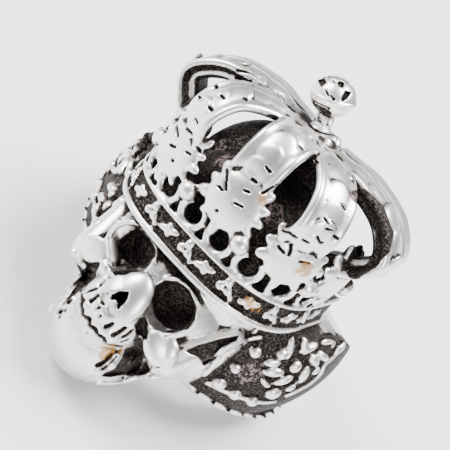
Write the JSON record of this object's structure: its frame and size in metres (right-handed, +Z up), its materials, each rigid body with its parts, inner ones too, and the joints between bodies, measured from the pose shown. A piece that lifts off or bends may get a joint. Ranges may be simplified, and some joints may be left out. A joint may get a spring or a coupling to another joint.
{
  "type": "skull ring",
  "caption": "Heavy cast finger ring: a grinning skull wearing an open arched crown topped by an orb, on a wide shank with raised dots and flowers.",
  "frame": {"origin": "middle of the finger hole, on its axis, half way along the shank's width", "axes": "+Z up from the surface that the ring lies on, -Y towards the skull's face, +X to the skull's left; the finger hole's axis leans back from +Z by the rest angle"},
  "size_m": [0.0289, 0.0346, 0.0321],
  "materials": {
    "cast_silver": "oxidised silver, polished on the raised parts and near black in the recesses"
  },
  "bodies": {
    "root": {"skull_ring": "cast_silver", "crown": "cast_silver", "orb_finial": "cast_silver"}
  },
  "joints": []
}
